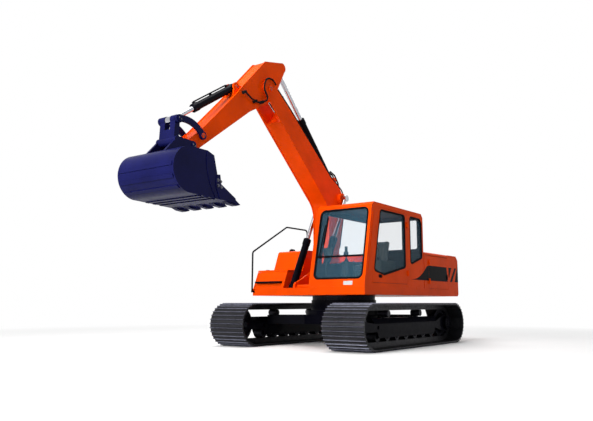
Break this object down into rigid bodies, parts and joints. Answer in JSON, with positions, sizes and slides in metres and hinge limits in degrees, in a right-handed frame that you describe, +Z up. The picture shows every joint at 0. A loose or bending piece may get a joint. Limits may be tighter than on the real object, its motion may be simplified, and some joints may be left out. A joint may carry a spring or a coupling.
{
  "type": "crawler excavator",
  "caption": "Hydraulic crawler excavator with tracks, swinging house, hollow cab with a hinged door, bent boom, arm, bucket linkage and toothed bucket.",
  "frame": {"origin": "on the ground under the middle of the machine's overall box at rest", "axes": "+X towards the machine's front and bucket, +Y to its left, where the cab is, +Z up"},
  "size_m": [7.8621, 3.3, 5.1532],
  "materials": {
    "orange_paint": "gloss",
    "navy_paint": "satin",
    "black_paint": "satin",
    "shoe_steel": "worn",
    "wheel_steel": "worn",
    "rod_chrome": "polished",
    "engine_steel": "matt",
    "window_glass": "clear",
    "seat_fabric": "woven",
    "cab_plastic": "matt",
    "hose_rubber": "matt"
  },
  "bodies": {
    "undercarriage": {"carbody": "black_paint", "swing_ring": "wheel_steel", "track_frame_left": "black_paint", "track_frame_right": "black_paint", "track_left": "shoe_steel", "track_right": "shoe_steel", "front_idlers": "wheel_steel", "drive_sprockets": "wheel_steel", "travel_motors": "black_paint", "track_rollers": "wheel_steel", "carrier_rollers": "wheel_steel"},
    "house": {"revolving_frame": "orange_paint", "counterweight": "orange_paint", "engine_bay": "orange_paint", "engine": "engine_steel", "fuel_tank": "orange_paint", "hydraulic_tank": "orange_paint", "toolbox": "orange_paint", "handrail": "black_paint", "cab_shell": "orange_paint", "cab_glass": "window_glass", "seat_base": "cab_plastic", "seat_cushions": "seat_fabric", "controls": "cab_plastic", "toolbox_step": "black_paint"},
    "cab_door": {"cab_door": "orange_paint", "door_glass": "window_glass"},
    "left_side_door": {"left_side_door": "orange_paint"},
    "right_side_door": {"right_side_door": "orange_paint"},
    "engine_hood": {"engine_hood": "orange_paint", "exhaust": "black_paint"},
    "toolbox_lid": {"toolbox_lid": "orange_paint"},
    "boom": {"boom": "orange_paint", "boom_pipes": "hose_rubber"},
    "arm": {"arm": "orange_paint", "arm_hoses": "hose_rubber"},
    "bucket": {"bucket": "navy_paint"},
    "boom_cylinder_tubes": {"boom_cylinder_tubes": "black_paint"},
    "boom_cylinder_rods": {"boom_cylinder_rods": "rod_chrome"},
    "arm_cylinder_tube": {"arm_cylinder_tube": "black_paint"},
    "arm_cylinder_rod": {"arm_cylinder_rod": "rod_chrome"},
    "bucket_cylinder_tube": {"bucket_cylinder_tube": "black_paint"},
    "bucket_cylinder_rod": {"bucket_cylinder_rod": "rod_chrome"},
    "guide_links": {"guide_links": "navy_paint"},
    "bucket_link": {"bucket_link": "navy_paint"}
  },
  "joints": [
    {"name": "swing", "type": "hinge", "parent": "undercarriage", "child": "house", "pos_m": [-1.12462, 0, 0.94], "axis": [0, 0, 1], "continuous": true},
    {"name": "boom", "type": "hinge", "parent": "house", "child": "boom", "pos_m": [-0.77462, -0.17, 1.45], "axis": [0, -1, 0], "range_deg": [-65, 3]},
    {"name": "boom_cylinder", "type": "hinge", "parent": "house", "child": "boom_cylinder_tubes", "pos_m": [-0.06462, -0.17, 1.1], "axis": [0, -1, 0], "range_deg": [-49.07, 3.22]},
    {"name": "boom_cylinder_stroke", "type": "slide", "parent": "boom_cylinder_tubes", "child": "boom_cylinder_rods", "axis": [-0.4632, 0, 0.8863], "range_m": [-0.72005, 0.04277]},
    {"name": "arm", "type": "hinge", "parent": "boom", "child": "arm", "pos_m": [1.30879, -0.17, 4.54746], "axis": [0, 1, 0], "range_deg": [-60, 48]},
    {"name": "arm_cylinder", "type": "hinge", "parent": "boom", "child": "arm_cylinder_tube", "pos_m": [-0.92102, -0.17, 3.23775], "axis": [0, 1, 0], "range_deg": [-1.23, 1.18]},
    {"name": "arm_cylinder_stroke", "type": "slide", "parent": "arm_cylinder_tube", "child": "arm_cylinder_rod", "axis": [0.703, 0, 0.7112], "range_m": [-0.64986, 0.52189]},
    {"name": "bucket", "type": "hinge", "parent": "arm", "child": "bucket", "pos_m": [3.16962, -0.17, 3.14523], "axis": [0, 1, 0], "range_deg": [-75, 50]},
    {"name": "bucket_cylinder", "type": "hinge", "parent": "arm", "child": "bucket_cylinder_tube", "pos_m": [2.08843, -0.17, 4.38569], "axis": [0, 1, 0], "range_deg": [-8.93, 6.29]},
    {"name": "bucket_cylinder_stroke", "type": "slide", "parent": "bucket_cylinder_tube", "child": "bucket_cylinder_rod", "axis": [0.8396, 0, -0.5431], "range_m": [-0.34514, 0.23343]},
    {"name": "guide_links", "type": "hinge", "parent": "arm", "child": "guide_links", "pos_m": [2.95607, -0.17, 3.34372], "axis": [0, 1, 0], "range_deg": [-44.7, 30.14]},
    {"name": "bucket_link", "type": "hinge", "parent": "guide_links", "child": "bucket_link", "pos_m": [3.46369, -0.17, 3.49609], "axis": [0, 1, 0], "range_deg": [-24.89, 36.84]},
    {"name": "cab_door", "type": "hinge", "parent": "house", "child": "cab_door", "pos_m": [-1.15462, 1.418, 1.2], "axis": [0, 0, 1], "range_deg": [0, 160]},
    {"name": "left_side_door", "type": "hinge", "parent": "house", "child": "left_side_door", "pos_m": [-2.10312, 1.418, 1.2], "axis": [0, 0, 1], "range_deg": [-100, 0]},
    {"name": "right_side_door", "type": "hinge", "parent": "house", "child": "right_side_door", "pos_m": [-2.11512, -1.418, 1.2], "axis": [0, 0, 1], "range_deg": [0, 100]},
    {"name": "engine_hood", "type": "hinge", "parent": "house", "child": "engine_hood", "pos_m": [-3.05812, 0, 1.818], "axis": [0, -1, 0], "range_deg": [0, 60]},
    {"name": "toolbox_lid", "type": "hinge", "parent": "house", "child": "toolbox_lid", "pos_m": [-0.61212, -1.0275, 1.458], "axis": [0, -1, 0], "range_deg": [0, 85]}
  ],
  "couplings": [
    {"joint": "boom_cylinder", "follows": "boom", "ratio": 0.73954},
    {"joint": "boom_cylinder_stroke", "follows": "boom", "m_per_rad": 0.62589},
    {"joint": "arm_cylinder", "follows": "arm", "ratio": 0.003791},
    {"joint": "arm_cylinder_stroke", "follows": "arm", "m_per_rad": 0.61103},
    {"joint": "bucket_cylinder", "follows": "bucket", "ratio": 0.10571},
    {"joint": "bucket_cylinder_stroke", "follows": "bucket", "m_per_rad": 0.25603},
    {"joint": "guide_links", "follows": "bucket", "ratio": 0.5827},
    {"joint": "bucket_link", "follows": "bucket", "ratio": -0.47784}
  ]
}
